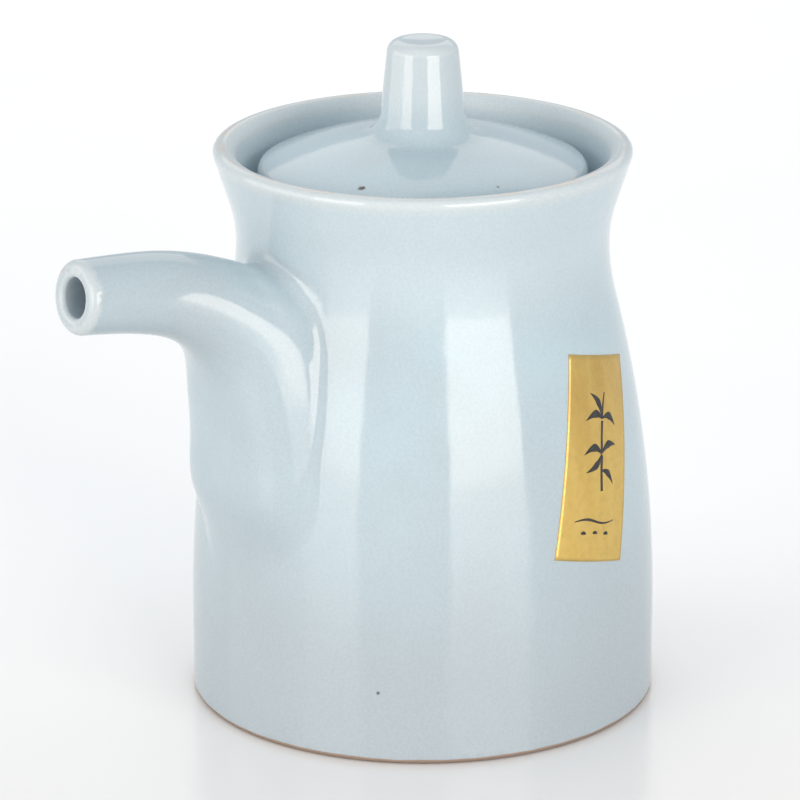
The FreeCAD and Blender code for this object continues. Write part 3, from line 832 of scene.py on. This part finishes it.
def foil():
    """Gold foil paper, browner at its top, with faint streaks down it."""
    n = Nodes("gold_foil_mat")
    colour = n.mix(n.stretch(n.height, 0.036, 0.058), (0.65, 0.45, 0.125, 1), (0.53, 0.35, 0.10, 1))
    streak = n.add("Mapping", {"Vector": n.place, "Scale": (1.0, 1.0, 0.12)}).outputs["Vector"]
    colour = n.mix(n.stretch(n.noise(420, 4, streak), 0.35, 0.7, 0.0, 0.4), colour, (0.72, 0.53, 0.18, 1))
    colour = n.mix(n.stretch(n.noise(900, 3), 0.4, 0.7, 0.0, 0.2), colour, (0.42, 0.27, 0.08, 1))
    rough = n.stretch(n.noise(2600, 2), 0.3, 0.7, 0.34, 0.5)
    bump = n.bump(n.noise(900, 4), 0.2, 0.0001)
    return n.finish(Base_Color=colour, Metallic=0.6, Roughness=rough, Normal=bump)


def ink():
    n = Nodes("ink_mat")
    colour = n.mix(n.stretch(n.noise(900, 3), 0.3, 0.7), (0.012, 0.011, 0.012, 1), (0.035, 0.03, 0.028, 1))
    return n.finish(Base_Color=colour, Roughness=0.45)


def floor_paper():
    """Smooth white paper, with painted shade: greyer towards the front, where the light falls off."""
    n = Nodes("floor_mat")
    across = n.add("Mapping", {"Vector": n.place, "Rotation": (0, 0, math.radians(90 - CAMERA_TURN))})
    depth = n.add("SeparateXYZ", {"Vector": across.outputs["Vector"]}).outputs["Y"]
    colour = n.mix(n.stretch(depth, -0.08, 0.08), (0.98, 0.98, 0.98, 1), (0.77, 0.77, 0.77, 1))
    colour = n.mix(n.stretch(n.noise(9, 3), 0.3, 0.7, 0.0, 0.1), colour, (0.85, 0.85, 0.85, 1))
    return n.finish(Base_Color=colour, Roughness=0.2)


# ------------------------------------------------------------------ studio
def make_floor():
    mesh = bpy.data.meshes.new("floor")
    half, level = 6.0, -0.0001
    corners = [(x * half, y * half, level) for x, y in ((-1, -1), (1, -1), (1, 1), (-1, 1))]
    mesh.from_pydata(corners, [], [(0, 1, 2, 3)])
    mesh.materials.append(floor_paper())
    floor = bpy.data.objects.new("floor", mesh)
    bpy.context.scene.collection.objects.link(floor)


CAMERA_TURN = -126.0  # direction of the camera from the pot, degrees from +X
CAMERA_RISE = 18.44
CAMERA_DISTANCE = 0.72
CAMERA_TARGET = Vector((0, 0, 0.045))
CAMERA_LENS = 215.45


def around(turn, rise, distance, target=CAMERA_TARGET):
    """A point at a direction and distance from the target."""
    a, e = math.radians(turn), math.radians(rise)
    return target + Vector((math.cos(a) * math.cos(e), math.sin(a) * math.cos(e), math.sin(e))) * distance


def aim(thing, target=CAMERA_TARGET):
    thing.rotation_euler = (target - thing.location).to_track_quat("-Z", "Y").to_euler()


def make_camera():
    data = bpy.data.cameras.new("camera")
    data.lens = CAMERA_LENS
    data.sensor_width = 36
    data.clip_start = 0.02
    data.shift_x = -0.02848
    data.shift_y = -0.00315
    camera = bpy.data.objects.new("camera", data)
    camera.location = around(CAMERA_TURN, CAMERA_RISE, CAMERA_DISTANCE)
    aim(camera)
    bpy.context.scene.collection.objects.link(camera)
    bpy.context.scene.camera = camera


SOFTBOX_COLOUR = (1.0, 0.88, 0.79)


def soft_box(name, place, target, width, height, glow):
    """A rectangular light that faces a target. glow is its radiance."""
    data = bpy.data.lights.new(name, "AREA")
    data.shape = "RECTANGLE"
    data.size = width
    data.size_y = height
    data.energy = glow * math.pi * width * height
    data.color = SOFTBOX_COLOUR
    light = bpy.data.objects.new(name, data)
    light.location = place
    aim(light, target)
    light.visible_camera = False
    bpy.context.scene.collection.objects.link(light)


def make_studio():
    """Upright boxes right and left, a dim one far left, one above the floor behind, and a pale room."""
    soft_box("right_box", around(CAMERA_TURN + 33, 11, 0.9), CAMERA_TARGET, 0.64, 0.56, 5.2)
    soft_box("left_box", around(CAMERA_TURN - 45, 11, 0.9), CAMERA_TARGET, 0.45, 0.56, 4.1)
    soft_box("left_fill", around(CAMERA_TURN - 85, 11, 0.9), CAMERA_TARGET, 0.84, 0.56, 1.7)
    behind = around(CAMERA_TURN + 180, 0, 0.7)
    soft_box("back_box", behind + Vector((0, 0, 0.4)), behind, 0.8, 0.8, 0.8)
    world = bpy.data.worlds.new("studio")
    world.use_nodes = True
    background = world.node_tree.nodes["Background"]
    background.inputs["Color"].default_value = (0.93, 1.0, 1.05, 1)
    background.inputs["Strength"].default_value = 0.74
    bpy.context.scene.world = world
    bpy.context.scene.view_settings.view_transform = "Standard"


make_pot(glaze("celadon", True))
make_lid(glaze("celadon_lid", False))
make_label(foil())
make_print(ink())
make_floor()
make_camera()
make_studio()
